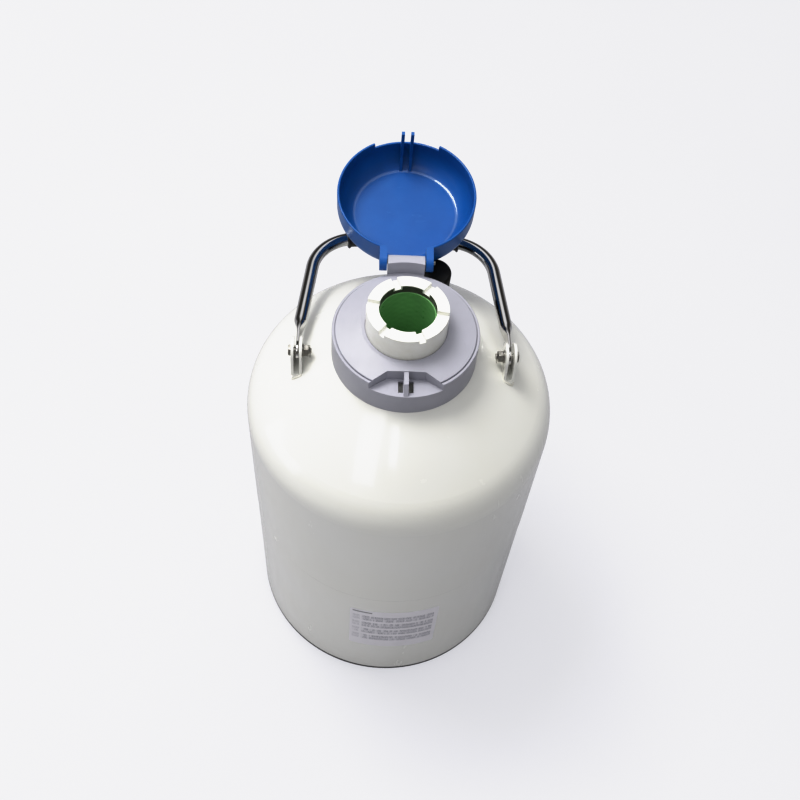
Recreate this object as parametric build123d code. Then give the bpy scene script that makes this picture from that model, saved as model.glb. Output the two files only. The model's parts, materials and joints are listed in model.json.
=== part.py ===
from build123d import *
import os
from math import cos, radians, sin

# Liquid nitrogen storage dewar, 10-litre class with a 50 mm neck.
# Frame: origin on the floor at the centre of the foot ring, +Z up, the latch notch faces -Y,
# the lid hinge is at +Y and the carrying bail pivots on the X sides. Millimetres.
# At rest the lid is thrown open and the bail is laid back, level with its pivots.

# Outer shell
BODY_R = 151.5          # upper half
LOWER_R = 151.1         # lower half, a hair smaller, so the girth seam shows as a step
SHELL_T = 2.5
SEAM_Z = 207.0
KNUCKLE_R = 46.8        # rounding between wall and shoulder
KNUCKLE_Z = 357.5       # top of the straight wall
KNUCKLE_DEG = 49.0      # slope angle of the outward normal where knuckle meets crown
CROWN_R = 392.0
CROWN_DEG = 61.2        # slope angle of the outward normal where crown meets the neck cone
MOUTH_R = 36.0
FOOT_H = 6.0
FOOT_W = 12.0
BASE_T = 3.0
FOOT_FILLET = 1.5
BASE_RISE = 14.0        # the base plate is dished inwards
BASE_LIFT = 2.0         # and welded this far above the foot ring

# Inner vessel
VESSEL_R = 118.0
VESSEL_T = 2.0
VESSEL_Z = 60.0
VESSEL_WALL_Z = 285.0   # top of the straight wall, where the two halves are welded
VESSEL_TOP_Z = 338.0    # foot of the vessel's neck
VESSEL_NECK_H = 14.0
VESSEL_LOW_R = 35.0
WRAP_T = 18.0
WRAP_GAP = 0.5
PACK_R = 40.0
PACK_T = 9.0

# Neck
TUBE_R = 25.0           # bore of the neck tube
TUBE_T = 2.0
TUBE_TOP_Z = 496.5
TUBE_LOW_Z = 334.0
FLANGE_R = 31.0
FLANGE_LIP_R = 26.1
FLANGE_TOP_Z = 500.0
FLANGE_DISC_R = 40.0
FLANGE_DISC_T = 4.0
SPIGOT_H = 6.0
RING_R = 37.3           # white canister ring
RING_TOP_Z = 505.3
RING_SEAT_Z = 478.0
RING_SLOTS = 6
RING_SLOT_W = 6.0
RING_SLOT_D = 4.2
RING_SLOT_DEG = -70.0   # bearing of the first slot
RING_GAP = 0.8
RING_FILLET = 0.4
KEY_R = 27.9             # the flange's castellations stand in pockets of the ring
KEY_TOP_Z = 504.2
KEY_GAP = 0.1
KEY_CHEEK = 1.3         # ring material left on each side of a slot

# Collar under the lid
COLLAR_R = 68.0
COLLAR_T = 2.6
COLLAR_FOOT_Z = 430.5   # drawn down to here, then trimmed to the shoulder
COLLAR_FIT = 0.1        # between its hub and the neck
LEDGE_Z = 473.2         # where the lid's rim sits
PLATE_R = 64.9
GROOVE_W = 0.7          # groove round the foot of the plate's step
GROOVE_D = 1.0
COLLAR_FILLET = 0.8
PLATE_EDGE_Z = 474.6
PLATE_MID_Z = 479.2
PAINT_GAP = 0.2         # what rests on the painted shoulder stands this far off it
WELD_GAP = 0.02         # what is welded to it
NOTCH_Y = 48.7
NOTCH_HALF = 17.2
NOTCH_RUN = (13.8, 9.1)  # direction of the slanting side walls
NOTCH_FLOOR_Z = 465.0
RIB_W = 4.2
RIB_TOP_Y = 60.9
SLOT_X = (2.5, 6.9)
SLOT_Y = (51.0, 63.2)

# Lid, drawn shut and then turned open about its pin
HINGE_Y = 74.3
HINGE_Z = 482.0
LID_OPEN_DEG = 172.0
LID_R = 67.7
LID_T = 2.4
LID_RIM_Z = 473.5
LID_H = 36.0
LID_FILLET = 17.5
RIM_FILLET = 1.0
LID_FLOOR_R = 51.5      # inside, the flat floor ends in a crease here
LID_CREASE_DEG = 66.0   # the rounding inside stops this far round, short of level
LID_STEP = 6.0          # the rim is cut back over the notch
LID_STEP_DEG = 29.0
LUG_X = (18.4, 25.4)
LUG_R = 8.5
LUG_CUT_Z = 493.0
BOSS_HALF = 17.5
BOSS_R = 6.5
PIN_R = 2.0
PIN_FIT = 0.08
PIN_CHAMFER = 0.5
PIN_X = (-25.2, 27.6)   # flush in the left lug, standing out of the right one
PRONG_X = (3.1, 6.2)
PRONG_Y = (57.7, 61.7)
PRONG_TIP_Z = 458.0
PRONG_FOOT = 16.0       # the ribs widen towards the floor's crease over this height

# Carrying bail
PIVOT_Z = 437.5
PIVOT_X = 100.3         # middle of each bracket
BAIL_R = 6.3
BAIL_REACH = 142.5      # pivot line to the middle of the top bar
BAIL_BEND_R = 45.0
ARM_X = 102.6           # where the arm's line meets the pivot line
ARM_LEAN = 0.118        # the arms draw together by this much per millimetre
EYE_X = 99.7
EYE_T = 2.8
EYE_R = 8.0
EYE_H = 14.0
FLAT_END_Y = 19.0
ROUND_START_Y = 36.0
GRIP_R = 8.0
GRIP_LIP_R = 9.4
GRIP_LIP_T = 2.5
GRIP_HALF = 57.0

# Brackets and their fasteners
STRAP_T = 2.5
STRAP_GAP = 5.3
STRAP_LOW_Z = 424.0     # centre of the strap's bottom bend
EAR_R = 13.5
EAR_BASE_HALF = 18.0
EAR_BASE_Z = 417.0
WELD_X = 8.4
WELD_Y = 36.0
WELD_TOP_Z = 420.0
BOLT_R = 3.0
BOLT_HEAD_T = 3.0
HEX_FLATS = 10.0
NUT_T = 5.0
WASHER_R = 6.2
WASHER_T = 1.2
BOLT_TAIL_X = 86.6
COTTER_X = 88.1
COTTER_R = 0.7

# Evacuation port
PORT_XY = (28.0, 84.0)
PORT_BORE_R = 6.0
PORT_R = 9.0
PORT_TOP_Z = 446.0
PORT_FOOT_Z = 406.0     # drawn down to here, then trimmed to the shoulder
PLUG_Z = (434.0, 444.0)
CAP_R = 17.5
CAP_FOOT_R = 15.6
CAP_TOP_Z = 459.5
CAP_FILLET = 2.8

# Label
LABEL_T = 0.2
LABEL_Z = (75.5, 174.5)
LABEL_DEG = (-106.5, -69.4)

LARGE = 400.0


def revolve_z(points_or_edges):
    """Solid of revolution about Z from a closed chain of edges drawn in the XZ plane."""
    return revolve(make_face(points_or_edges), Axis.Z)


def ring(r_in, r_out, z_low, z_high):
    """Plain ring, or a disc when r_in is 0."""
    body = Pos(0, 0, z_low) * extrude(Circle(r_out), z_high - z_low)
    if r_in > 0:
        body -= Pos(0, 0, z_low - 1) * extrude(Circle(r_in), z_high - z_low + 2)
    return body


def block(x, y, z):
    """Box from its low and high corners, given as one pair for each axis."""
    size = (x[1] - x[0], y[1] - y[0], z[1] - z[0])
    middle = ((x[0] + x[1]) / 2, (y[0] + y[1]) / 2, (z[0] + z[1]) / 2)
    return Pos(*middle) * Box(*size)


def rod_x(radius, x, y, z):
    """Round bar along X between the two ends in x."""
    return Pos(x[0], y, z) * extrude(Plane.YZ * Circle(radius), x[1] - x[0])


def in_xz(radius, z):
    return (radius, 0, z)


def xz_arc(centre, radius, start_deg, turn_deg):
    """Arc in the XZ plane, with angles measured from +X towards +Z."""
    def at(deg):
        return in_xz(centre[0] + radius * cos(radians(deg)), centre[1] + radius * sin(radians(deg)))
    return ThreePointArc(at(start_deg), at(start_deg + turn_deg / 2), at(start_deg + turn_deg))


# ---------------------------------------------------------------- outer shell

def shell_outline(inset, z_low, mouth_r):
    """Solid bounded by the outer shell's surface, moved inwards by inset."""
    knuckle_centre = (BODY_R - KNUCKLE_R, KNUCKLE_Z)
    back = CROWN_R - KNUCKLE_R
    crown_centre = (knuckle_centre[0] - back * cos(radians(KNUCKLE_DEG)),
                    knuckle_centre[1] - back * sin(radians(KNUCKLE_DEG)))
    knuckle = xz_arc(knuckle_centre, KNUCKLE_R - inset, 0, KNUCKLE_DEG)
    crown = xz_arc(crown_centre, CROWN_R - inset, KNUCKLE_DEG, CROWN_DEG - KNUCKLE_DEG)
    top = crown @ 1
    run = (top.X - mouth_r) / sin(radians(CROWN_DEG))
    mouth = in_xz(mouth_r, top.Z + run * cos(radians(CROWN_DEG)))
    wall = Polyline(in_xz(mouth_r, z_low), in_xz(BODY_R - inset, z_low), knuckle @ 0)
    cone = Polyline(top, mouth, in_xz(mouth_r, z_low))
    return revolve_z([*wall.edges(), knuckle, crown, *cone.edges()])


def shell_solid(grow=0.0):
    """Everything inside the shell's painted surface, without the neck hole."""
    tip_r = 0.5
    return shell_outline(-grow, SEAM_Z, tip_r)


def outer_shell_upper():
    skin = shell_outline(0, SEAM_Z, MOUTH_R) - shell_outline(SHELL_T, SEAM_Z - 1, MOUTH_R - 1)
    port_hole = Pos(*PORT_XY, PORT_TOP_Z - 60) * extrude(Circle(PORT_BORE_R), 60)
    return skin - port_hole


def outer_shell_lower():
    return ring(LOWER_R - SHELL_T, LOWER_R, FOOT_H, SEAM_Z)


def foot_ring():
    body = ring(LOWER_R - FOOT_W, LOWER_R, 0, FOOT_H)
    return fillet(body.edges().filter_by(GeomType.CIRCLE).group_by(Axis.Z)[0], FOOT_FILLET)


def base_plate():
    """Dished disc welded inside the bottom of the lower shell."""
    rim_r = LOWER_R - SHELL_T
    low = FOOT_H + BASE_LIFT
    under = ThreePointArc(in_xz(-rim_r, low), in_xz(0, low + BASE_RISE), in_xz(rim_r, low))
    half = under.trim(0.5, 1)
    over = Pos(0, 0, BASE_T) * half
    side = Line(half @ 1, over @ 1)
    middle = Line(over @ 0, half @ 0)
    return revolve_z([half, side, over, middle])


# --------------------------------------------------------------- inner vessel

def vessel_envelope(grow):
    """Closed bottle shape of the inner vessel, grown outwards by grow."""
    r = VESSEL_R + grow
    low_r = VESSEL_LOW_R + grow
    low = xz_arc((VESSEL_R - VESSEL_LOW_R, VESSEL_Z + VESSEL_LOW_R), low_r, -90, 90)
    neck_r = TUBE_R + TUBE_T + VESSEL_T
    rise = VESSEL_TOP_Z - VESSEL_WALL_Z
    quarter = EllipticalCenterArc((0, 0), r, rise + grow, start_angle=0, arc_size=90)
    shoulder = Pos(0, 0, VESSEL_WALL_Z) * Rot(90, 0, 0) * quarter
    chain = [
        Line(in_xz(0, VESSEL_Z - grow), low @ 0),
        low,
        Line(low @ 1, in_xz(r, VESSEL_WALL_Z)),
        shoulder,
        Line(shoulder @ 1, in_xz(0, VESSEL_Z - grow)),
    ]
    neck = ring(0, neck_r + grow, VESSEL_WALL_Z, VESSEL_TOP_Z + VESSEL_NECK_H)
    return revolve_z(chain) + neck


def inner_vessel():
    """Whole bottle; the two halves are cut from it at the girth weld."""
    hollow = vessel_envelope(-VESSEL_T) - ring(0, LARGE, VESSEL_TOP_Z - 1, LARGE)
    bore = ring(0, TUBE_R + TUBE_T, VESSEL_WALL_Z, LARGE)
    return vessel_envelope(0) - hollow - bore


def inner_vessel_upper():
    return inner_vessel() - ring(0, LARGE, 0, VESSEL_WALL_Z)


def inner_vessel_lower():
    return inner_vessel() - ring(0, LARGE, VESSEL_WALL_Z, 2 * LARGE)


def adsorbent_pack():
    return ring(0, PACK_R, VESSEL_Z - PACK_T, VESSEL_Z)


def insulation_wrap():
    """Blanket of foil and paper layers, open for the neck and pocketed for the adsorbent."""
    wrap = vessel_envelope(WRAP_T) - vessel_envelope(WRAP_GAP)
    wrap -= ring(0, LARGE, VESSEL_TOP_Z + VESSEL_NECK_H - 1, 2 * LARGE)
    return wrap - ring(0, PACK_R + WRAP_GAP, VESSEL_Z - PACK_T - WRAP_GAP, VESSEL_Z + 1)


def canister_spider():
    """Star plate on the vessel's floor that spaces the canister feet."""
    hub_r, rim_r, arm_w, thick = 16.0, 62.0, 7.0, 2.0
    low = VESSEL_Z + VESSEL_T
    star = ring(0, hub_r, low, low + thick) + ring(rim_r - arm_w, rim_r, low, low + thick)
    for arm in by_slots(block((hub_r - 2, rim_r - 2), (-arm_w / 2, arm_w / 2), (low, low + thick))):
        star += arm
    return star


# ----------------------------------------------------------------------- neck

def neck_tube():
    return ring(TUBE_R, TUBE_R + TUBE_T, TUBE_LOW_Z, TUBE_TOP_Z)


def mouth_z():
    """Height of the shell's mouth edge."""
    return shell_outline(0, SEAM_Z, MOUTH_R).bounding_box().max.Z


def by_slots(shape):
    """The shape repeated at each of the ring's slots."""
    return [Rot(0, 0, RING_SLOT_DEG + k * 360 / RING_SLOTS) * shape for k in range(RING_SLOTS)]


def castellations(gap):
    """Upstands on the flange between the ring's slots, grown by gap on every side."""
    body = ring(FLANGE_LIP_R, KEY_R + gap, FLANGE_TOP_Z, KEY_TOP_Z + gap)
    half = RING_SLOT_W / 2 + KEY_CHEEK - gap
    passage = block((FLANGE_LIP_R - 3, RING_R), (-half, half), (FLANGE_TOP_Z - 1, RING_TOP_Z))
    for cut in by_slots(passage):
        body -= cut
    return body


def neck_flange():
    """Turned aluminium neck: a spigot in the shell's mouth, a disc over it and a keyed chimney."""
    seat = mouth_z()
    chimney = ring(TUBE_R + TUBE_T, FLANGE_R, seat - SPIGOT_H, TUBE_TOP_Z)
    lip = ring(FLANGE_LIP_R, FLANGE_R, TUBE_TOP_Z, FLANGE_TOP_Z)
    disc = ring(TUBE_R + TUBE_T, FLANGE_DISC_R, seat, seat + FLANGE_DISC_T)
    spigot = ring(TUBE_R + TUBE_T, MOUTH_R, seat - SPIGOT_H, seat)
    return chimney + lip + disc + spigot + castellations(0)


def canister_ring():
    """White ring whose slots hold the canister handles."""
    body = ring(FLANGE_R, RING_R, RING_SEAT_Z, FLANGE_TOP_Z)
    body += ring(FLANGE_LIP_R, RING_R, FLANGE_TOP_Z, RING_TOP_Z)
    slot = block((FLANGE_LIP_R - 3, RING_R + 3), (-RING_SLOT_W / 2, RING_SLOT_W / 2),
                 (RING_TOP_Z - RING_SLOT_D, RING_TOP_Z + 1))
    for cut in by_slots(slot):
        body -= cut
    seat = body.edges().filter_by(GeomType.CIRCLE).filter_by(lambda e: abs(e.radius - FLANGE_R) < 0.01)
    return fillet(body.edges() - seat, RING_FILLET) - castellations(KEY_GAP)


# --------------------------------------------------------------------- collar

def notch_prism(grow, floor_z):
    """Finger notch at the front: flat back wall and two walls slanting outwards."""
    far = 60.0
    dx, dy = NOTCH_RUN
    slope = (dx * dx + dy * dy) ** 0.5
    half = NOTCH_HALF + grow * (slope - dy) / dx
    back = NOTCH_Y - grow
    reach = far / dy * dx
    plan = Polyline((-half, -back), (half, -back), (half + reach, -back - far),
                    (-half - reach, -back - far), close=True)
    return Pos(0, 0, floor_z) * extrude(make_face(plan), 40)


def collar_envelope():
    """Outer shape of the collar before the notch, as one solid of revolution."""
    lip_r = RING_R + RING_GAP
    outline = Polyline(in_xz(FLANGE_R + COLLAR_FIT, COLLAR_FOOT_Z), in_xz(COLLAR_R, COLLAR_FOOT_Z),
                       in_xz(COLLAR_R, LEDGE_Z), in_xz(PLATE_R, LEDGE_Z), in_xz(PLATE_R, PLATE_EDGE_Z),
                       in_xz(lip_r + 3, PLATE_MID_Z), in_xz(lip_r, PLATE_MID_Z),
                       in_xz(lip_r, RING_SEAT_Z), in_xz(FLANGE_R + COLLAR_FIT, RING_SEAT_Z), close=True)
    body = revolve_z(outline.edges())
    rims = body.edges().filter_by(GeomType.CIRCLE).filter_by(lambda e: abs(e.radius - COLLAR_R) < 0.01)
    body = fillet(rims.sort_by(Axis.Z)[-1], COLLAR_FILLET)
    plate = body.edges().filter_by(GeomType.CIRCLE).filter_by(lambda e: abs(e.radius - PLATE_R) < 0.01)
    return fillet(plate.sort_by(Axis.Z)[-1], COLLAR_FILLET)


def collar_hollow():
    hub_r = FLANGE_R + COLLAR_FIT + COLLAR_T
    wall_r = COLLAR_R - COLLAR_T
    outline = Polyline(in_xz(hub_r, COLLAR_FOOT_Z - 1), in_xz(wall_r, COLLAR_FOOT_Z - 1),
                       in_xz(wall_r, LEDGE_Z - COLLAR_T), in_xz(PLATE_R - COLLAR_T, LEDGE_Z - COLLAR_T),
                       in_xz(hub_r, RING_SEAT_Z - COLLAR_T), close=True)
    return revolve_z(outline.edges())


def hinge_boss():
    """Block behind the collar that carries the hinge pin, with a buttress below it."""
    top = HINGE_Z + BOSS_R
    low = LEDGE_Z - 12
    wall = COLLAR_R - 5
    side = make_face(Polyline((wall, low), (HINGE_Y - 4, low), (HINGE_Y + BOSS_R, HINGE_Z),
                              (HINGE_Y, top), (wall, top), close=True))
    side += Pos(HINGE_Y, HINGE_Z) * Circle(BOSS_R)
    body = Pos(-BOSS_HALF, 0, 0) * extrude(Plane.YZ * side, 2 * BOSS_HALF)
    above = ring(0, COLLAR_R + 0.4, LEDGE_Z, LEDGE_Z + 30)
    inside = ring(0, COLLAR_R - 1, 0, LEDGE_Z)
    return body - above - inside


def collar():
    body = collar_envelope() - notch_prism(0, NOTCH_FLOOR_Z)
    body -= ring(PLATE_R, PLATE_R + GROOVE_W, LEDGE_Z - GROOVE_D, LEDGE_Z + 1)
    body -= collar_hollow() - notch_prism(COLLAR_T, NOTCH_FLOOR_Z - COLLAR_T)
    rib = make_face(Polyline((-NOTCH_Y + 1, NOTCH_FLOOR_Z - 1), (-NOTCH_Y + 1, PLATE_EDGE_Z + 2.4),
                             (-RIB_TOP_Y, PLATE_EDGE_Z + 0.4), (-COLLAR_R + 0.4, NOTCH_FLOOR_Z),
                             (-COLLAR_R + 0.4, NOTCH_FLOOR_Z - 1), close=True))
    body += Pos(-RIB_W / 2, 0, 0) * extrude(Plane.YZ * rib, RIB_W)
    for side in (-1, 1):
        x = sorted(side * value for value in SLOT_X)
        body -= block(x, (-SLOT_Y[1], -SLOT_Y[0]), (NOTCH_FLOOR_Z - 4, NOTCH_FLOOR_Z + 0.5))
    body += hinge_boss()
    body -= rod_x(PIN_R, (-40, 40), HINGE_Y, HINGE_Z)
    seat = mouth_z() + FLANGE_DISC_T
    body -= ring(0, FLANGE_DISC_R + 1, 0, seat)
    return body - shell_solid(PAINT_GAP)


# ------------------------------------------------------------------------ lid

def lid_outside(rim_z):
    """Solid bounded by the lid's outer surface: wall, large rounding, flat crown."""
    top = LID_RIM_Z + LID_H
    arc = xz_arc((LID_R - LID_FILLET, top - LID_FILLET), LID_FILLET, 0, 90)
    chain = Polyline(arc @ 1, in_xz(0, top), in_xz(0, rim_z), in_xz(LID_R, rim_z), arc @ 0)
    return revolve_z([*chain.edges(), arc])


def lid_inside():
    """The hollow: its rounding meets the flat floor in a crease instead of running into it."""
    floor = LID_RIM_Z + LID_H - LID_T
    r = LID_R - LID_T
    turn = radians(LID_CREASE_DEG)
    arc_r = (r - LID_FLOOR_R) / (1 - cos(turn))
    start = floor - arc_r * sin(turn)
    arc = xz_arc((r - arc_r, start), arc_r, 0, LID_CREASE_DEG)
    chain = Polyline(arc @ 1, in_xz(0, floor), in_xz(0, LID_RIM_Z - 1), in_xz(r, LID_RIM_Z - 1), arc @ 0)
    return revolve_z([*chain.edges(), arc])


def lid_cup(rim_z):
    """Round cup, rim down, with a rounded rim."""
    cup = lid_outside(rim_z) - lid_inside()
    rim = cup.edges().filter_by(GeomType.CIRCLE).group_by(Axis.Z)[0]
    return fillet(rim, RIM_FILLET)


def front_sector(z_low, z_high):
    """Wedge over the notch, used to cut the rim back."""
    reach = 2 * LID_R
    spread = reach * sin(radians(LID_STEP_DEG)) / cos(radians(LID_STEP_DEG))
    plan = Polyline((0, 0), (spread, -reach), (-spread, -reach), close=True)
    return Pos(0, 0, z_low) * extrude(make_face(plan), z_high - z_low)


def lid_lug(side):
    """Hinge ear: a round eye joined to the lid's wall."""
    x = sorted(side * value for value in LUG_X)
    root_y = (LID_R ** 2 - LUG_X[1] ** 2) ** 0.5 - 1.0
    web = make_face(Polyline((root_y, LID_RIM_Z), (HINGE_Y, HINGE_Z - LUG_R), (HINGE_Y + LUG_R, HINGE_Z),
                             (HINGE_Y + 1, HINGE_Z + LUG_R), (root_y, LUG_CUT_Z + 6), close=True))
    web += Pos(HINGE_Y, HINGE_Z) * Circle(LUG_R)
    lug = Pos(x[0], 0, 0) * extrude(Plane.YZ * web, x[1] - x[0])
    return lug - ring(0, LID_R - LID_T, LID_RIM_Z - 1, LID_RIM_Z + LID_H)


def lid_prong(side):
    """Latch prong: a rib down the inside of the wall that reaches past the rim."""
    x = sorted(side * value for value in PRONG_X)
    tip = block(x, (-PRONG_Y[1], -PRONG_Y[0]), (PRONG_TIP_Z, LID_RIM_Z + 2 * LID_STEP))
    floor = LID_RIM_Z + LID_H - LID_T
    outline = Polyline((-LID_R + 1, LID_RIM_Z + LID_STEP), (-PRONG_Y[0], LID_RIM_Z + LID_STEP),
                       (-PRONG_Y[0], floor - PRONG_FOOT), (-LID_FLOOR_R, floor), (-LID_R + 1, floor),
                       close=True)
    rib = Pos(x[0], 0, 0) * extrude(Plane.YZ * make_face(outline), x[1] - x[0])
    return tip + (rib & lid_outside(LID_RIM_Z))


def lid_shut():
    front = front_sector(LID_RIM_Z - 1, LUG_CUT_Z)
    body = (lid_cup(LID_RIM_Z) - front) + (lid_cup(LID_RIM_Z + LID_STEP) & front)
    body -= block((-LUG_X[0], LUG_X[0]), (40, LID_R + 10), (LID_RIM_Z - 5, LUG_CUT_Z))
    for side in (-1, 1):
        body += lid_lug(side)
        body += lid_prong(side)
    body -= rod_x(PIN_R + PIN_FIT, (-40, 40), HINGE_Y, HINGE_Z)
    return body


def hinge_axis():
    return Axis((0, HINGE_Y, HINGE_Z), (1, 0, 0))


def lid():
    return lid_shut().rotate(hinge_axis(), -LID_OPEN_DEG)


def hinge_pin():
    body = rod_x(PIN_R, PIN_X, HINGE_Y, HINGE_Z)
    return chamfer(body.edges().filter_by(GeomType.CIRCLE), PIN_CHAMFER)


# ---------------------------------------------------------------------- bail

def bail_path():
    """Centre line of the round rod: arm, bend, top bar, bend, arm."""
    def arm(y):
        return ARM_X - ARM_LEAN * y
    corner = arm(BAIL_REACH)
    points = [(-arm(ROUND_START_Y), ROUND_START_Y), (-corner, BAIL_REACH),
              (corner, BAIL_REACH), (arm(ROUND_START_Y), ROUND_START_Y)]
    return Pos(0, 0, PIVOT_Z) * FilletPolyline(*points, radius=BAIL_BEND_R)


def along_bail(radius):
    path = bail_path()
    start = Plane(origin=path @ 0, z_dir=path % 0)
    return sweep(start * Circle(radius), path=path)


def bail_end(side):
    """Flattened end with the pivot eye, running into the round rod."""
    flat = block((EYE_X - EYE_T / 2, EYE_X + EYE_T / 2), (0, FLAT_END_Y),
                 (PIVOT_Z - EYE_H / 2, PIVOT_Z + EYE_H / 2))
    flat += rod_x(EYE_R, (EYE_X - EYE_T / 2, EYE_X + EYE_T / 2), 0, PIVOT_Z)
    arm_dir = Vector(-ARM_LEAN, 1, 0).normalized()
    round_at = (ARM_X - ARM_LEAN * ROUND_START_Y, ROUND_START_Y, PIVOT_Z)
    x_dir = Vector(1, ARM_LEAN, 0).normalized()
    low = Plane(origin=(EYE_X, FLAT_END_Y, PIVOT_Z), x_dir=(1, 0, 0), z_dir=(0, 1, 0))
    high = Plane(origin=round_at, x_dir=x_dir, z_dir=arm_dir)
    corner = EYE_T / 2 - 0.1
    taper = loft([low * RectangleRounded(EYE_T, EYE_H, corner), high * Circle(BAIL_R)])
    end = flat + taper - rod_x(BOLT_R + PIN_FIT, (EYE_X - 10, EYE_X + 10), 0, PIVOT_Z)
    return end if side > 0 else mirror(end, about=Plane.YZ)


def handle_bail():
    return along_bail(BAIL_R) + bail_end(1) + bail_end(-1)


def across_bar(half):
    """Slab round the middle of the top bar, half wide on each side."""
    return Pos(0, BAIL_REACH, PIVOT_Z) * Box(2 * half, BAIL_BEND_R, BAIL_BEND_R)


def handle_grip():
    """Moulded sleeve on the top bar with a small lip at each end."""
    sleeve = along_bail(GRIP_R) & across_bar(GRIP_HALF)
    lips = (along_bail(GRIP_LIP_R) & across_bar(GRIP_HALF)) - across_bar(GRIP_HALF - GRIP_LIP_T)
    return sleeve + lips - along_bail(BAIL_R)


# ------------------------------------------------------------------- brackets

def bracket(side):
    """U-shaped strap welded to the shoulder, open upwards, with round-topped ears."""
    outer = STRAP_GAP / 2 + STRAP_T
    inner = STRAP_GAP / 2
    high = PIVOT_Z + EAR_R + 2

    def channel(half):
        reach = EAR_BASE_HALF + 1
        body = block((PIVOT_X - half, PIVOT_X + half), (-reach, reach), (STRAP_LOW_Z, high))
        bend = Pos(PIVOT_X, reach, STRAP_LOW_Z) * extrude(Plane.XZ * Circle(half), 2 * reach)
        return body + bend
    ears = make_hull([*(Pos(0, PIVOT_Z) * Circle(EAR_R)).edges(),
                      *Polyline((-EAR_BASE_HALF, EAR_BASE_Z), (EAR_BASE_HALF, EAR_BASE_Z)).edges()])
    side_view = Pos(PIVOT_X - 20, 0, 0) * extrude(Plane.YZ * ears, 40)
    strap = (channel(outer) - channel(inner)) & side_view
    weld = block((PIVOT_X - WELD_X / 2, PIVOT_X + WELD_X / 2), (-WELD_Y / 2, WELD_Y / 2),
                 (EAR_BASE_Z - 15, WELD_TOP_Z))
    body = strap + (weld - channel(inner)) - shell_solid(WELD_GAP)
    body -= rod_x(BOLT_R, (PIVOT_X - 20, PIVOT_X + 20), 0, PIVOT_Z)
    return body if side > 0 else mirror(body, about=Plane.YZ)


def both_sides(shape):
    return Compound([shape, mirror(shape, about=Plane.YZ)])


def hex_prism(x_low, x_high):
    return Pos(x_low, 0, PIVOT_Z) * extrude(Plane.YZ * RegularPolygon(HEX_FLATS / 2, 6, major_radius=False),
                                            x_high - x_low)


def bracket_bolts():
    """Bolts with the head outside and a cross-drilled tail inside."""
    face = PIVOT_X + STRAP_GAP / 2 + STRAP_T
    bolt = hex_prism(face, face + BOLT_HEAD_T) + rod_x(BOLT_R, (BOLT_TAIL_X, face), 0, PIVOT_Z)
    hole = Pos(COTTER_X, 0, PIVOT_Z - 10) * extrude(Circle(COTTER_R), 20)
    return both_sides(bolt - hole)


def bracket_washers():
    face = PIVOT_X - STRAP_GAP / 2 - STRAP_T
    body = rod_x(WASHER_R, (face - WASHER_T, face), 0, PIVOT_Z)
    return both_sides(body - rod_x(BOLT_R, (face - 5, face + 5), 0, PIVOT_Z))


def bracket_nuts():
    face = PIVOT_X - STRAP_GAP / 2 - STRAP_T - WASHER_T
    body = hex_prism(face - NUT_T, face)
    return both_sides(body - rod_x(BOLT_R, (face - 10, face + 5), 0, PIVOT_Z))


def cotter_pins():
    """Split pins through the bolt tails, with a loop on top and the tail bent aside."""
    length = 9.0
    loop_r = 1.6
    pin = Pos(COTTER_X, 0, PIVOT_Z - length / 2 - 1) * extrude(Circle(COTTER_R), length + 1)
    loop = Pos(COTTER_X, 0, PIVOT_Z + length / 2 + loop_r - 0.4) * Rot(0, 90, 0) * Torus(loop_r, COTTER_R)
    tail = Pos(COTTER_X, 0, PIVOT_Z - length / 2 - 1) * Rot(-60, 0, 0) * extrude(Circle(COTTER_R), 5)
    return both_sides(pin + loop + tail)


# ------------------------------------------------------------ evacuation port

def at_port(shape):
    return Pos(*PORT_XY, 0) * shape


def vacuum_port():
    body = at_port(ring(PORT_BORE_R, PORT_R, PORT_FOOT_Z, PORT_TOP_Z))
    return body - shell_solid(WELD_GAP)


def vacuum_plug():
    return at_port(ring(0, PORT_BORE_R, *PLUG_Z))


def vacuum_cap():
    """Soft protective cap pushed over the port, its foot following the shoulder."""
    body = revolve_z(Polyline(in_xz(0, PORT_FOOT_Z), in_xz(CAP_FOOT_R, PORT_FOOT_Z),
                              in_xz(CAP_R, CAP_TOP_Z - CAP_FILLET), in_xz(CAP_R, CAP_TOP_Z),
                              in_xz(0, CAP_TOP_Z), close=True).edges())
    body = fillet(body.edges().filter_by(GeomType.CIRCLE).group_by(Axis.Z)[-1], CAP_FILLET)
    body -= ring(0, PORT_R, 0, PORT_TOP_Z + 1)
    return at_port(body) - shell_solid(PAINT_GAP)


# ---------------------------------------------------------------------- label

def label():
    band = ring(LOWER_R, LOWER_R + LABEL_T, *LABEL_Z)
    reach = 2 * LOWER_R
    ends = [(reach * cos(radians(deg)), reach * sin(radians(deg))) for deg in LABEL_DEG]
    wedge = Polyline((0, 0), ends[0], ends[1], close=True)
    return band & extrude(make_face(wedge), LABEL_Z[1] + 1)


NODES = {
    "foot_ring": foot_ring,
    "base_plate": base_plate,
    "outer_shell_lower": outer_shell_lower,
    "outer_shell_upper": outer_shell_upper,
    "inner_vessel_lower": inner_vessel_lower,
    "inner_vessel_upper": inner_vessel_upper,
    "insulation_wrap": insulation_wrap,
    "adsorbent_pack": adsorbent_pack,
    "canister_spider": canister_spider,
    "neck_tube": neck_tube,
    "neck_flange": neck_flange,
    "canister_ring": canister_ring,
    "collar": collar,
    "lid": lid,
    "hinge_pin": hinge_pin,
    "handle_bail": handle_bail,
    "handle_grip": handle_grip,
    "handle_bracket_left": lambda: bracket(-1),
    "handle_bracket_right": lambda: bracket(1),
    "bracket_bolts": bracket_bolts,
    "bracket_washers": bracket_washers,
    "bracket_nuts": bracket_nuts,
    "cotter_pins": cotter_pins,
    "vacuum_port": vacuum_port,
    "vacuum_plug": vacuum_plug,
    "vacuum_cap": vacuum_cap,
    "label": label,
}

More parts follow.
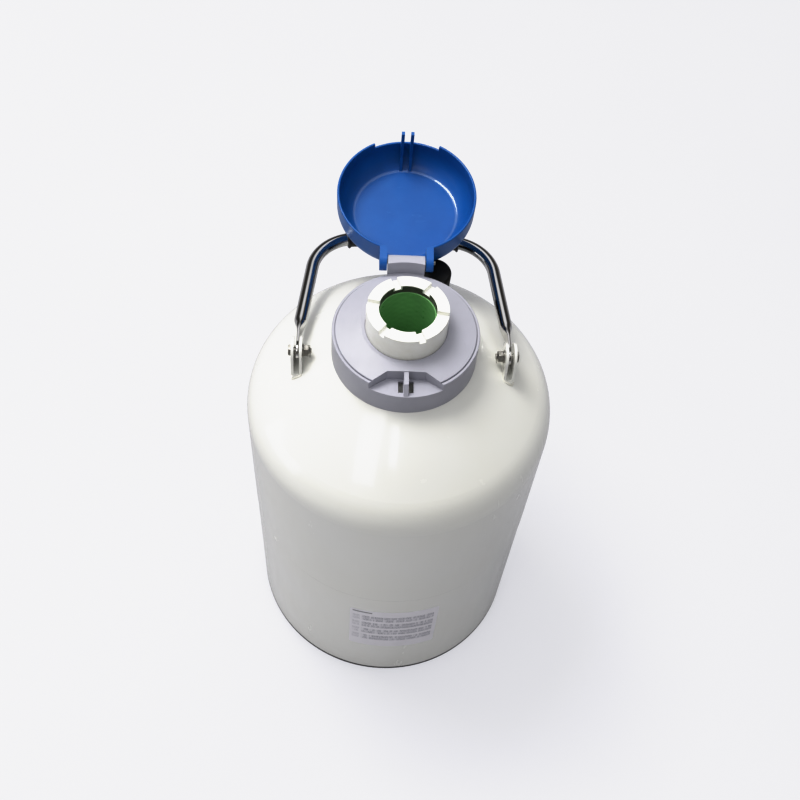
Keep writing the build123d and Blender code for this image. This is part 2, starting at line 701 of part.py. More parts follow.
os.makedirs("parts", exist_ok=True)
for name, make in NODES.items():
    export_step(make(), f"parts/{name}.step")
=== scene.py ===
"""Liquid nitrogen dewar with its lid thrown open: materials, fine detail, light and camera.

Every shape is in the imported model's frame: metres, +Z up, latch notch towards -Y. Lengths below are in
millimetres and are turned into metres by MM.
"""
import json
import random
from math import asin, atan2, cos, hypot, pi, radians, sin, sqrt, tan

import bmesh
import bpy
from mathutils import Matrix, Vector


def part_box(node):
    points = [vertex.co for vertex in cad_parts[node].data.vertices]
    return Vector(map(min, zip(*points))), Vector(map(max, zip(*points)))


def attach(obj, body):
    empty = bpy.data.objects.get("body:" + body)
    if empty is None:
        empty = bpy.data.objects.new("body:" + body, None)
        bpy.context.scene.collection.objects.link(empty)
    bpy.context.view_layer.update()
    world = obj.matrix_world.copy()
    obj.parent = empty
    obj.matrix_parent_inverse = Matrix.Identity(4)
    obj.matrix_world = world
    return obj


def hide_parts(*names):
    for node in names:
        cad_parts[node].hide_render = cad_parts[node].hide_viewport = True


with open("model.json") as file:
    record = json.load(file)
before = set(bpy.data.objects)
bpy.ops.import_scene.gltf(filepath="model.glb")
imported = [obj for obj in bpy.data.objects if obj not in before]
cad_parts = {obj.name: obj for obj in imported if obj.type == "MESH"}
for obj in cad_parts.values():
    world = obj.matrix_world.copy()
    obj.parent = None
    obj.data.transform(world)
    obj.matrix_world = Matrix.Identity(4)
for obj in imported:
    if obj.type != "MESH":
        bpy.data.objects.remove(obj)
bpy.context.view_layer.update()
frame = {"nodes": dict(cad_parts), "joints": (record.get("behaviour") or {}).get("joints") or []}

MM = 0.001
NODES = frame["nodes"]
VESSEL, LID, HANDLE = "vessel", "lid", "handle"

# ------------------------------------------------------------------ places, read from the frame


def joint(name):
    return next(j for j in frame["joints"] if j["name"] == name)


def span(node, axis):
    """Lowest and highest coordinate of a CAD node along one axis, in millimetres."""
    low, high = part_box(node)
    return low[axis] / MM, high[axis] / MM


X, Y, Z = 0, 1, 2
PIVOT_Z = joint("handle_swing")["pos_m"][Z] / MM
LOWER_R = span("outer_shell_lower", X)[1]
SEAM_Z = span("outer_shell_lower", Z)[1]
BRACKET_IN, BRACKET_OUT = span("handle_bracket_right", X)
BRACKET_X = (BRACKET_IN + BRACKET_OUT) / 2
FOOT_LOW_Y, FOOT_HIGH_Y = span("handle_bracket_right", Y)
BOLT_HEAD_X = span("bracket_bolts", X)[1]
NUT_X = span("bracket_nuts", X)[1]
WASHER_X = span("bracket_washers", X)[1]
COTTER_HIGH_Z = span("cotter_pins", Z)[1]
BAIL_TOP_Y = span("handle_bail", Y)[1]
LABEL_LOW_Z, LABEL_HIGH_Z = span("label", Z)
LABEL_LOW_X, LABEL_HIGH_X = span("label", X)
HINGE = Vector(joint("lid_hinge")["pos_m"]) / MM
ABOVE_ALL = 600         # a height over the whole dewar


def shell_height(x, y):
    """Height of the painted shoulder at a place, in millimetres."""
    origin = Vector((x, y, ABOVE_ALL)) * MM
    hit, place, _normal, _index = NODES["outer_shell_upper"].ray_cast(origin, Vector((0, 0, -1)))
    if not hit:
        raise ValueError(f"the shell isn't below {x}, {y}")
    return place.z / MM


# ------------------------------------------------------------------ mesh helpers


WELD_TOGETHER = 0.002   # points closer than this are one


def plain_object(name, verts, faces):
    """A mesh object from points in millimetres."""
    mesh = bpy.data.meshes.new(name)
    mesh.from_pydata([Vector(v) * MM for v in verts], [], faces)
    thing = bpy.data.objects.new(name, mesh)
    bpy.context.scene.collection.objects.link(thing)
    return thing


def shade_smooth(mesh, sharp_deg):
    """Smooth shading, except across edges sharper than an angle."""
    for polygon in mesh.polygons:
        polygon.use_smooth = True
    mesh.set_sharp_from_angle(angle=radians(sharp_deg))


def new_piece(name, verts, faces, material, body, slot, sharp_deg):
    """A finished mesh from points in millimetres, riding on a body."""
    piece = plain_object(name, verts, faces)
    mesh = piece.data
    work = bmesh.new()
    work.from_mesh(mesh)
    bmesh.ops.remove_doubles(work, verts=work.verts, dist=WELD_TOGETHER * MM)
    bmesh.ops.recalc_face_normals(work, faces=work.faces)
    work.to_mesh(mesh)
    work.free()
    mesh.materials.append(material)
    shade_smooth(mesh, sharp_deg)
    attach(piece, body)
    return piece


def tube_faces(rings, points, closed_loop=False, caps=True):
    """Quads between successive rings of equally many points, with end caps or joined end to end."""
    faces = []
    last = rings if closed_loop else rings - 1
    for i in range(last):
        j = (i + 1) % rings
        for k in range(points):
            m = (k + 1) % points
            faces.append((i * points + k, i * points + m, j * points + m, j * points + k))
    if caps and not closed_loop:
        faces.append(tuple(reversed(range(points))))
        faces.append(tuple((rings - 1) * points + k for k in range(points)))
    return faces


def lathe(profile, steps, centre=(0, 0), axis=Z):
    """Closed profile of (radius, height) pairs turned about a line along Z or X."""
    verts = []
    for i in range(steps):
        turn = 2 * pi * i / steps
        for radius, height in profile:
            a, b = radius * cos(turn), radius * sin(turn)
            verts.append((centre[0] + a, centre[1] + b, height) if axis == Z
                         else (height, centre[0] + a, centre[1] + b))
    return verts, tube_faces(steps, len(profile), closed_loop=True)


def mirror_x(verts, faces):
    """The same shape on both sides of the YZ plane."""
    count = len(verts)
    other = [(-x, y, z) for x, y, z in verts]
    flipped = [tuple(count + k for k in reversed(face)) for face in faces]
    return verts + other, faces + flipped


def join_parts(*parts):
    """Several (verts, faces) pairs as one."""
    verts, faces = [], []
    for part_verts, part_faces in parts:
        base = len(verts)
        verts += part_verts
        faces += [tuple(base + k for k in face) for face in part_faces]
    return verts, faces


def swept_tube(path, radius_at, points, closed=False):
    """Tube along a list of points; radius_at(i, turn) gives its radius."""
    path = [Vector(p) for p in path]
    count = len(path)
    verts = []
    side = None
    for i, place in enumerate(path):
        ahead = path[(i + 1) % count] if closed or i + 1 < count else place
        behind = path[i - 1] if closed or i > 0 else place
        along = (ahead - behind).normalized()
        if side is None:
            side = along.orthogonal().normalized()
        side = (side - along * side.dot(along)).normalized()
        other = along.cross(side)
        for k in range(points):
            turn = 2 * pi * k / points
            verts.append(tuple(place + (side * cos(turn) + other * sin(turn)) * radius_at(i, turn)))
    return verts, tube_faces(count, points, closed_loop=closed)


# ------------------------------------------------------------------ material helpers


def linear(red, green, blue):
    """Linear colour from 0-255 display values."""
    def channel(value):
        value /= 255
        return value / 12.92 if value <= 0.04045 else ((value + 0.055) / 1.055) ** 2.4
    return (channel(red), channel(green), channel(blue), 1.0)


class Graph:
    """A node material built step by step, in object coordinates."""

    def __init__(self, name, metallic=0.0, coat=0.0, coat_roughness=0.1, specular=0.5):
        self.material = bpy.data.materials.new(name)
        self.material.use_nodes = True
        self.tree = self.material.node_tree
        self.shader = self.tree.nodes["Principled BSDF"]
        self.shader.inputs["Metallic"].default_value = metallic
        self.shader.inputs["Coat Weight"].default_value = coat
        self.shader.inputs["Coat Roughness"].default_value = coat_roughness
        self.shader.inputs["Specular IOR Level"].default_value = specular
        self.place = self.add("ShaderNodeTexCoord").outputs["Object"]

    def add(self, kind, **settings):
        node = self.tree.nodes.new(kind)
        for key, value in settings.items():
            setattr(node, key, value)
        return node

    def feed(self, node, name, value):
        """Sets a socket to a number or colour, or links another node's output to it."""
        socket = node.inputs[name]
        if isinstance(value, bpy.types.NodeSocket):
            self.tree.links.new(value, socket)
        else:
            socket.default_value = value

    def noise(self, scale, detail=3.0, roughness=0.55, stretch=None):
        node = self.add("ShaderNodeTexNoise")
        place = self.place
        if stretch:
            mapping = self.add("ShaderNodeMapping")
            self.feed(mapping, "Vector", place)
            mapping.inputs["Scale"].default_value = stretch
            place = mapping.outputs["Vector"]
        self.feed(node, "Vector", place)
        self.feed(node, "Scale", scale)
        self.feed(node, "Detail", detail)
        self.feed(node, "Roughness", roughness)
        return node.outputs["Fac"]

    def spots(self, scale):
        node = self.add("ShaderNodeTexVoronoi", feature="F1")
        self.feed(node, "Vector", self.place)
        self.feed(node, "Scale", scale)
        return node.outputs["Distance"]

    def math(self, operation, a, b=0.0, c=0.0):
        node = self.add("ShaderNodeMath", operation=operation)
        for index, value in enumerate((a, b, c)):
            if index < len(node.inputs):
                self.feed(node, index, value)
        return node.outputs["Value"]

    def remap(self, value, low, high, to_low=0.0, to_high=1.0):
        node = self.add("ShaderNodeMapRange")
        for name, number in zip(("From Min", "From Max", "To Min", "To Max"), (low, high, to_low, to_high)):
            node.inputs[name].default_value = number
        self.feed(node, "Value", value)
        return node.outputs["Result"]

    def mix(self, share, first, second):
        node = self.add("ShaderNodeMix", data_type="RGBA")
        self.feed(node, 0, share)
        self.feed(node, 6, first)
        self.feed(node, 7, second)
        return node.outputs[2]

    def axis(self, name):
        node = self.add("ShaderNodeSeparateXYZ")
        self.feed(node, "Vector", self.place)
        return node.outputs[name]

    def bump(self, height, depth_mm, strength=1.0, under=None):
        node = self.add("ShaderNodeBump")
        self.feed(node, "Height", height)
        node.inputs["Distance"].default_value = depth_mm * MM
        node.inputs["Strength"].default_value = strength
        if under is not None:
            self.feed(node, "Normal", under)
        return node.outputs["Normal"]

    def done(self, colour, roughness, normal=None):
        self.feed(self.shader, "Base Color", colour)
        self.feed(self.shader, "Roughness", roughness)
        if normal is not None:
            self.feed(self.shader, "Normal", normal)
        return self.material


def enamel():
    """Glossy stoved enamel: faint orange peel, slow waviness, a little grime low down."""
    g = Graph("enamel_white", coat=0.7, coat_roughness=0.06)
    cloud = g.remap(g.noise(9, 4), 0.35, 0.7)
    colour = g.mix(g.math("MULTIPLY", cloud, 0.5), linear(233, 233, 228), linear(230, 229, 220))
    specks = g.remap(g.spots(240), 0.0, 0.05, 1.0, 0.0)
    rare = g.remap(g.noise(21, 2), 0.62, 0.68)
    colour = g.mix(g.math("MULTIPLY", g.math("MULTIPLY", specks, rare), 0.3), colour, linear(170, 164, 150))
    low = g.remap(g.axis("Z"), 0.004, 0.05, 0.35, 0.0)
    grime = g.math("MULTIPLY", low, g.remap(g.noise(60, 6, 0.7), 0.35, 0.75))
    colour = g.mix(grime, colour, linear(190, 184, 168))
    smear = g.noise(26, 5, 0.6, stretch=(1, 1, 0.25))
    roughness = g.remap(smear, 0.3, 0.75, 0.16, 0.3)
    peel = g.bump(g.noise(420, 2, 0.5), 0.03, 0.35)
    wave = g.bump(g.noise(14, 1, 0.4), 0.35, 0.25, under=peel)
    return g.done(colour, roughness, wave)


def weld_paint():
    """The same enamel, thicker and duller over weld metal."""
    g = Graph("enamel_on_weld", coat=0.4, coat_roughness=0.12)
    blot = g.remap(g.noise(160, 4, 0.6), 0.35, 0.7)
    colour = g.mix(blot, linear(238, 237, 228), linear(222, 219, 206))
    rough = g.bump(g.noise(700, 4, 0.6), 0.15, 0.6)
    return g.done(colour, g.remap(g.noise(90, 3), 0.3, 0.7, 0.25, 0.45), rough)


def lid_blue(name="moulded_blue", coat=0.1, coat_roughness=0.16):
    """Injection-moulded blue: faint flow lines, fine spark-eroded grain, thin pale scratches."""
    g = Graph(name, specular=0.35, coat=coat, coat_roughness=coat_roughness)
    flow = g.remap(g.noise(16, 5, 0.6), 0.35, 0.7)
    colour = g.mix(flow, linear(18, 88, 157), linear(25, 98, 168))
    scuffs = g.remap(g.noise(48, 6, 0.75, stretch=(1, 2.2, 1)), 0.60, 0.74)
    colour = g.mix(g.math("MULTIPLY", scuffs, 0.2), colour, linear(78, 138, 192))
    roughness = g.remap(g.noise(30, 4), 0.3, 0.7, 0.3, 0.42)
    grain = g.bump(g.noise(1400, 3, 0.6), 0.03, 0.5)
    sink = g.bump(g.noise(22, 1, 0.3), 0.25, 0.3, under=grain)
    return g.done(colour, roughness, sink)


def collar_grey():
    """Lavender-grey moulding with fine grain and handling marks."""
    g = Graph("moulded_grey", specular=0.42)
    cloud = g.remap(g.noise(20, 5, 0.6), 0.3, 0.72)
    colour = g.mix(cloud, linear(167, 167, 176), linear(175, 175, 185))
    marks = g.remap(g.noise(75, 3, 0.55, stretch=(5, 1, 2)), 0.64, 0.72)
    colour = g.mix(g.math("MULTIPLY", marks, 0.25), colour, linear(158, 157, 166))
    roughness = g.remap(g.noise(34, 4), 0.3, 0.7, 0.36, 0.5)
    grain = g.bump(g.noise(1100, 3, 0.6), 0.04, 0.55)
    return g.done(colour, roughness, grain)


def ring_white():
    """White moulding, slightly yellowed and scuffed."""
    g = Graph("moulded_white", specular=0.45)
    cloud = g.remap(g.noise(45, 4, 0.6), 0.35, 0.7)
    colour = g.mix(cloud, linear(246, 246, 240), linear(239, 238, 228))
    scuffs = g.remap(g.noise(130, 4, 0.65), 0.63, 0.72)
    colour = g.mix(g.math("MULTIPLY", scuffs, 0.25), colour, linear(206, 203, 192))
    grain = g.bump(g.noise(1200, 3, 0.6), 0.03, 0.5)
    return g.done(colour, g.remap(g.noise(60, 3), 0.3, 0.7, 0.32, 0.46), grain)


STRAND_WAVE = 900.0     # radians of the winding's wave to a metre of height
STRAND_STARTS = 11.0    # waves in one turn round the tube


def neck_green():
    """Green glass-fibre laminate: wound strands crossing at a shallow angle under clear resin, in paler
    greens and with a faint glow: painted light for the light that reaches down into the neck.
    """
    g = Graph("glass_fibre_green_painted_glow", coat=0.6, coat_roughness=0.12)
    angle = g.math("ARCTAN2", g.axis("Y"), g.axis("X"))
    height = g.math("MULTIPLY", g.axis("Z"), STRAND_WAVE)
    left = g.math("SINE", g.math("ADD", height, g.math("MULTIPLY", angle, STRAND_STARTS)))
    right = g.math("SINE", g.math("SUBTRACT", height, g.math("MULTIPLY", angle, STRAND_STARTS)))
    weave = g.remap(g.math("ADD", left, right), -2.0, 2.0)
    cloud = g.remap(g.noise(70, 5, 0.65), 0.3, 0.75)
    tone = g.math("MULTIPLY_ADD", weave, 0.35, g.math("MULTIPLY", cloud, 0.65))
    # paler greens than the laminate itself: painted light, lifting the tube's far wall inside the dark neck
    colour = g.mix(tone, linear(112, 166, 106), linear(134, 188, 126))
    # painted glow: a faint emission standing in for light reaching down the neck, though the tube is no lamp
    g.shader.inputs["Emission Color"].default_value = linear(92, 150, 88)
    g.shader.inputs["Emission Strength"].default_value = 0.06
    fibres = g.bump(g.math("ADD", weave, g.noise(500, 3)), 0.08, 0.4)
    return g.done(colour, g.remap(cloud, 0, 1, 0.25, 0.4), fibres)


def turned_metal(name, light, dark, rough=(0.3, 0.45), metallic=1.0):
    """Turned aluminium: fine rings left by the tool, uneven dull film."""
    g = Graph(name, metallic=metallic)
    film = g.remap(g.noise(80, 5, 0.65), 0.35, 0.7)
    colour = g.mix(film, linear(*light), linear(*dark))
    rings = g.noise(1.0, 2, 0.5, stretch=(4, 4, 2400))
    tool = g.bump(rings, 0.04, 0.6)
    return g.done(colour, g.remap(rings, 0.3, 0.7, *rough), tool)


def zinc():
    """Zinc-plated steel with cloudy crystal patches."""
    g = Graph("zinc_plate", metallic=1.0)
    patch = g.remap(g.spots(380), 0.1, 0.6)
    colour = g.mix(patch, linear(196, 194, 188), linear(158, 156, 150))
    dull = g.remap(g.noise(240, 4, 0.6), 0.55, 0.7)
    colour = g.mix(g.math("MULTIPLY", dull, 0.5), colour, linear(112, 104, 92))
    return g.done(colour, g.remap(patch, 0, 1, 0.26, 0.42), g.bump(g.noise(900, 3), 0.03, 0.5))


def chrome():
    """Bright chromium plate with faint drawing lines and a few dull specks."""
    g = Graph("chrome_plate", metallic=1.0)
    specks = g.remap(g.spots(210), 0.0, 0.05, 1.0, 0.0)
    rare = g.remap(g.noise(34, 2), 0.55, 0.62)
    dull = g.math("MULTIPLY", specks, rare)
    colour = g.mix(dull, linear(196, 195, 194), linear(110, 102, 92))
    haze = g.remap(g.noise(40, 4, 0.6), 0.35, 0.75, 0.05, 0.12)
    roughness = g.math("ADD", haze, g.math("MULTIPLY", dull, 0.3))
    return g.done(colour, roughness, g.bump(g.noise(30, 2, 0.4), 0.12, 0.2))


def black_plastic():
    """Moulded black grip, greyer where hands have worn it."""
    g = Graph("grip_black", specular=0.45)
    cloud = g.remap(g.noise(60, 4), 0.35, 0.7)
    colour = g.mix(cloud, linear(20, 20, 21), linear(32, 31, 31))
    worn = g.remap(g.noise(180, 4, 0.65), 0.62, 0.72)
    colour = g.mix(g.math("MULTIPLY", worn, 0.35), colour, linear(66, 64, 62))
    roughness = g.remap(g.noise(90, 4), 0.3, 0.7, 0.38, 0.55)
    return g.done(colour, roughness, g.bump(g.noise(900, 3), 0.06, 0.6))


def black_rubber(name="rubber_black", base=(15, 15, 16), dust=(54, 53, 51)):
    """Soft black rubber with a dusty bloom."""
    g = Graph(name, specular=0.3)
    bloom = g.remap(g.noise(70, 5, 0.65), 0.5, 0.75)
    colour = g.mix(g.math("MULTIPLY", bloom, 0.4), linear(*base), linear(*dust))
    roughness = g.remap(g.noise(50, 4), 0.3, 0.7, 0.5, 0.68)
    return g.done(colour, roughness, g.bump(g.noise(1000, 4, 0.6), 0.06, 0.6))


def foil():
    """Crinkled aluminised blanket, hidden inside."""
    g = Graph("blanket_foil", metallic=0.9)
    crinkle = g.noise(55, 6, 0.7)
    colour = g.mix(g.remap(crinkle, 0.3, 0.7), linear(200, 202, 205), linear(168, 170, 174))
    return g.done(colour, g.remap(crinkle, 0.3, 0.7, 0.2, 0.4), g.bump(crinkle, 1.2, 0.8))


CLOTH_WAVE = 5200.0     # radians of the weave's wave to a metre


def cloth():
    """Woven pouch of adsorbent, hidden inside."""
    g = Graph("pouch_cloth", specular=0.2)
    warp = g.math("SINE", g.math("MULTIPLY", g.axis("X"), CLOTH_WAVE))
    weft = g.math("SINE", g.math("MULTIPLY", g.axis("Y"), CLOTH_WAVE))
    weave = g.remap(g.math("MULTIPLY", warp, weft), -1.0, 1.0)
    colour = g.mix(weave, linear(206, 200, 182), linear(226, 221, 206))
    return g.done(colour, 0.9, g.bump(weave, 0.25, 0.8))


PRINT_TOP = 14.0        # from the label's upper edge down to the first band of print
BAND_PITCH = 17.9
BAND_HEIGHT = 12.8
BANDS = 4
PRINT_START, COLUMN_END, PRINT_END = 0.03, 0.125, 0.95      # shares of the label's width
HEADING_TOP, HEADING_LOW = 3.8, 6.6                         # down from the label's upper edge
HEADING_END = 0.25                                          # a share of the width too


def label_print():
    """Pale laminate with a short bar and four grey bands, each two rows of word-long marks: no letters."""
    g = Graph("label_laminate", coat=0.3, coat_roughness=0.15)
    paper = g.mix(g.remap(g.noise(50, 3), 0.35, 0.7), linear(235, 233, 237), linear(229, 227, 231))
    around = g.math("ARCTAN2", g.axis("X"), g.math("MULTIPLY", g.axis("Y"), -1.0))
    across = g.math("MULTIPLY", around, LOWER_R)
    share = g.remap(across, LABEL_LEFT, LABEL_RIGHT)
    down = g.math("SUBTRACT", LABEL_HIGH_Z, g.math("MULTIPLY", g.axis("Z"), 1 / MM))

    def between(value, low, high):
        return g.math("MULTIPLY", g.math("GREATER_THAN", value, low), g.math("LESS_THAN", value, high))

    def marks(stretch_x, stretch_y, height, low, high, floor):
        seed = g.add("ShaderNodeCombineXYZ")
        g.feed(seed, "X", g.math("MULTIPLY", across, stretch_x))
        g.feed(seed, "Y", g.math("MULTIPLY", height, stretch_y))
        field = g.add("ShaderNodeTexNoise")
        g.feed(field, "Vector", seed.outputs["Vector"])
        g.feed(field, "Scale", 1.0)
        g.feed(field, "Detail", 1.0)
        return g.remap(field.outputs["Fac"], low, high, floor, 1.0)

    bands = g.math("DIVIDE", g.math("SUBTRACT", down, PRINT_TOP), BAND_PITCH)
    within = g.math("MULTIPLY", g.math("FRACT", bands), BAND_PITCH)
    lower_row = g.math("GREATER_THAN", within, BAND_HEIGHT / 2)
    row = g.math("ADD", g.math("MULTIPLY", g.math("FLOOR", bands), 2.0), lower_row)
    valley = g.math("ABSOLUTE", g.math("SUBTRACT", within, BAND_HEIGHT / 2))
    ink = g.math("MULTIPLY", g.math("LESS_THAN", within, BAND_HEIGHT), g.remap(valley, 0.3, 1.2, 0.45, 1.0))
    ink = g.math("MULTIPLY", ink, between(bands, 0.0, BANDS))
    ink = g.math("MULTIPLY", ink, between(share, PRINT_START, PRINT_END))
    words = marks(0.26, 7.3, row, 0.38, 0.46, 0.3)
    strokes = marks(0.75, 0.6, down, 0.38, 0.62, 0.25)
    ink = g.math("MULTIPLY", ink, g.math("MULTIPLY", words, strokes))
    column = g.remap(g.math("ABSOLUTE", g.math("SUBTRACT", share, COLUMN_END)), 0.008, 0.014)
    faint = g.remap(share, COLUMN_END, COLUMN_END + 0.06, 0.45, 1.0)
    ink = g.math("MULTIPLY", ink, g.math("MULTIPLY", column, faint))
    heading = g.math("MULTIPLY", between(down, HEADING_TOP, HEADING_LOW),
                     between(share, PRINT_START, HEADING_END))
    colour = g.mix(g.math("MULTIPLY", ink, 0.85), paper, linear(134, 132, 144))
    colour = g.mix(g.math("MULTIPLY", heading, 0.8), colour, linear(84, 84, 88))
    roughness = g.remap(g.noise(40, 3), 0.3, 0.7, 0.35, 0.5)
    return g.done(colour, roughness, g.bump(g.noise(30, 3), 0.08, 0.25))


FLOOR_GLOW = 0.56       # as the camera sees it
FLOOR_SPILL = 0.34      # as it lights the dewar
FLOOR_MIRRORED = 0.16   # as chrome and enamel mirror it


def floor_paper():
    """Backlit pale sheet, as on a light table, so that the shadow on it stays faint."""
    g = Graph("backdrop_paper", specular=0.15)
    cloud = g.remap(g.noise(1.3, 4), 0.3, 0.7)
    colour = g.mix(cloud, linear(150, 150, 153), linear(146, 146, 150))
    g.shader.inputs["Emission Color"].default_value = linear(250, 250, 254)
    ray = g.add("ShaderNodeLightPath").outputs
    glow = g.math("MULTIPLY_ADD", ray["Is Camera Ray"], FLOOR_GLOW - FLOOR_SPILL, FLOOR_SPILL)
    glow = g.math("MULTIPLY_ADD", ray["Is Glossy Ray"], FLOOR_MIRRORED - FLOOR_SPILL, glow)
    g.feed(g.shader, "Emission Strength", glow)
    return g.done(colour, 0.75, g.bump(g.noise(600, 3), 0.05, 0.2))


def arc_place(x):
    """Distance round the lower shell from the front, for a point x to the right."""
    return LOWER_R * asin(x / LOWER_R)


LABEL_LEFT, LABEL_RIGHT = arc_place(LABEL_LOW_X), arc_place(LABEL_HIGH_X)

white = enamel()
steel = zinc()
plate = chrome()
weld = weld_paint()
blue = lid_blue()
grey = collar_grey()
satin = turned_metal("aluminium_spun", (206, 207, 210), (178, 179, 183))
dark_neck = turned_metal("aluminium_dulled", (104, 101, 95), (78, 76, 71), (0.4, 0.55), metallic=0.35)

CAD_LOOKS = {
    "foot_ring": black_rubber("foot_rubber_grey", (60, 60, 62), (112, 110, 106)),
    "base_plate": white,
    "outer_shell_lower": white,
    "outer_shell_upper": white,
    "inner_vessel_lower": satin,
    "inner_vessel_upper": satin,
    "insulation_wrap": foil(),
    "adsorbent_pack": cloth(),
    "canister_spider": satin,
    "neck_tube": neck_green(),
    "neck_flange": dark_neck,
    "canister_ring": ring_white(),
    "collar": grey,
    "lid": blue,
    "hinge_pin": steel,
    "handle_bracket_left": white,
    "handle_bracket_right": white,
    "vacuum_port": satin,
    "vacuum_plug": steel,
    "vacuum_cap": black_rubber(),
}


def dress_cad_nodes():
    for name, material in CAD_LOOKS.items():
        mesh = NODES[name].data
        mesh.materials.clear()
        mesh.materials.append(material)


# ------------------------------------------------------------------ carrying bail

BAIL_R = 6.3
BEND_R = 45.0
ARM_X = 102.6           # where the arm's line crosses the pivot line
ARM_LEAN = 0.118        # inward, for each unit away from the pivot
EYE_X = 99.7
EYE_T = 2.8
EYE_R = 8.0
EYE_HALF_H = 7.0
EYE_BORE_R = 3.08
FLAT_END_Y = 19.0
ROUND_START_Y = 36.0
SECTION_POINTS = 40
BAIL_SHARP_DEG = 40
ROUND_BAR = 2.0         # superellipse power: 2 is a circle
FLAT_BAR = 7.0          # and this a bar with small corner rounds
GRIP_HALF = 57.0
GRIP_R = 8.0
GRIP_LIP_R = 9.3
GRIP_LIP_T = 2.5
GRIP_LIP_SOFT = 0.7     # how far a lip's two edges are rounded off
GRIP_FILLET = 0.5
GRIP_FILLET_END = 1.2
GRIP_FIT = 0.05
MOULD_LINE = 0.12
GRIP_POINTS = 48
BAR_Y = BAIL_TOP_Y - BAIL_R


def ease(t):
    """A smooth step from 0 to 1."""
    t = min(max(t, 0.0), 1.0)
    return t * t * (3 - 2 * t)


def bail_bend():
    """Centre and angles of the right-hand bend between arm and top bar."""
    lean = atan2(ARM_LEAN, 1.0)
    centre_y = BAR_Y - BEND_R
    arm_x = ARM_X - ARM_LEAN * centre_y
    centre_x = arm_x - BEND_R / cos(lean)
    return centre_x, centre_y, lean


def bail_line(step=2.5):
    """Centre line of the right half from the end of the flat to the middle of the top bar."""
    centre_x, centre_y, lean = bail_bend()
    start_y = centre_y + BEND_R * sin(lean)
    points = []
    length = start_y - ROUND_START_Y
    count = int(length / step)
    for i in range(count):
        y = ROUND_START_Y + length * i / count
        points.append((ARM_X - ARM_LEAN * y, y))
    turn = pi / 2 - lean
    bends = int(BEND_R * turn / step)
    for i in range(bends):
        a = lean + turn * i / bends
        points.append((centre_x + BEND_R * cos(a), centre_y + BEND_R * sin(a)))
    bars = int(centre_x / step)
    for i in range(bars + 1):
        points.append((centre_x * (1 - i / bars), BAR_Y))
    return points


def section(place, along, half_w, half_h, power):
    """Superellipse across a horizontal direction."""
    side = Vector((along[1], -along[0], 0)).normalized()
    ring = []
    for k in range(SECTION_POINTS):
        a = 2 * pi * k / SECTION_POINTS
        c, s = cos(a), sin(a)
        u = abs(c) ** (2 / power) * (1 if c >= 0 else -1) * half_w
        v = abs(s) ** (2 / power) * (1 if s >= 0 else -1) * half_h
        ring.append(tuple(Vector((place[0], place[1], PIVOT_Z)) + side * u + Vector((0, 0, v))))
    return ring


def eye_stations():
    """Flattened end: a round eye, a flat bar, then a taper into the round rod."""
    stations = []
    for i in range(1, 13):
        y = -EYE_R * cos(pi / 2 * i / 12)
        stations.append((EYE_X, y, EYE_T / 2, sqrt(EYE_R ** 2 - y * y), FLAT_BAR))
    crest = sqrt(EYE_R ** 2 - EYE_HALF_H ** 2)
    for i in range(1, 9):
        y = crest * i / 8
        stations.append((EYE_X, y, EYE_T / 2, sqrt(EYE_R ** 2 - y * y), FLAT_BAR))
    for i in range(1, 7):
        stations.append((EYE_X, crest + (FLAT_END_Y - crest) * i / 6, EYE_T / 2, EYE_HALF_H, FLAT_BAR))
    end_x = ARM_X - ARM_LEAN * ROUND_START_Y
    for i in range(1, 16):
        t = i / 16
        s = ease(t)
        y = FLAT_END_Y + (ROUND_START_Y - FLAT_END_Y) * t
        half_w = EYE_T / 2 + (BAIL_R - EYE_T / 2) * s
        half_h = EYE_HALF_H + (BAIL_R - EYE_HALF_H) * s
        power = FLAT_BAR + (ROUND_BAR - FLAT_BAR) * ease(1.4 * t)
        stations.append((EYE_X + (end_x - EYE_X) * s, y, half_w, half_h, power))
    return stations


def build_bail():
    """One continuous rod from eye to eye, with the bolt holes cut through the eyes."""
    half = eye_stations()
    half += [(x, y, BAIL_R, BAIL_R, ROUND_BAR) for x, y in bail_line()]
    whole = half + [(-x, y, w, h, n) for x, y, w, h, n in reversed(half[:-1])]
    verts = []
    for i, (x, y, w, h, n) in enumerate(whole):
        ahead = whole[min(i + 1, len(whole) - 1)]
        behind = whole[max(i - 1, 0)]
        along = (ahead[0] - behind[0], ahead[1] - behind[1])
        if y <= FLAT_END_Y:
            along = (0, 1 if x > 0 else -1)
        verts += section((x, y), along, w, h, n)
    faces = tube_faces(len(whole), SECTION_POINTS)
    piece = new_piece("bail_rod", verts, faces, plate, HANDLE, "bail_chrome", BAIL_SHARP_DEG)
    drill(piece, EYE_BORE_R)
    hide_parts("handle_bail")


CUTTER_HALF = 200       # longer than the bail is wide
CUTTER_CORE_R = 0.001
CUTTER_STEPS = 48


def drill(piece, radius):
    """Cuts the pivot bore along X through both eyes."""
    profile = [(CUTTER_CORE_R, -CUTTER_HALF), (radius, -CUTTER_HALF), (radius, CUTTER_HALF),
               (CUTTER_CORE_R, CUTTER_HALF)]
    cutter = plain_object("bore_cutter", *lathe(profile, CUTTER_STEPS, (0, PIVOT_Z), axis=X))
    cut = piece.modifiers.new("bore", "BOOLEAN")
    cut.operation = "DIFFERENCE"
    cut.solver = "EXACT"
    cut.object = cutter
    keep_modifiers(piece)
    bpy.data.objects.remove(cutter)
    shade_smooth(piece.data, BAIL_SHARP_DEG)


def keep_modifiers(piece):
    """Turns a piece's modifiers into its mesh."""
    bpy.context.view_layer.update()
    graph = bpy.context.evaluated_depsgraph_get()
    mesh = bpy.data.meshes.new_from_object(piece.evaluated_get(graph))
    piece.modifiers.clear()
    piece.data = mesh


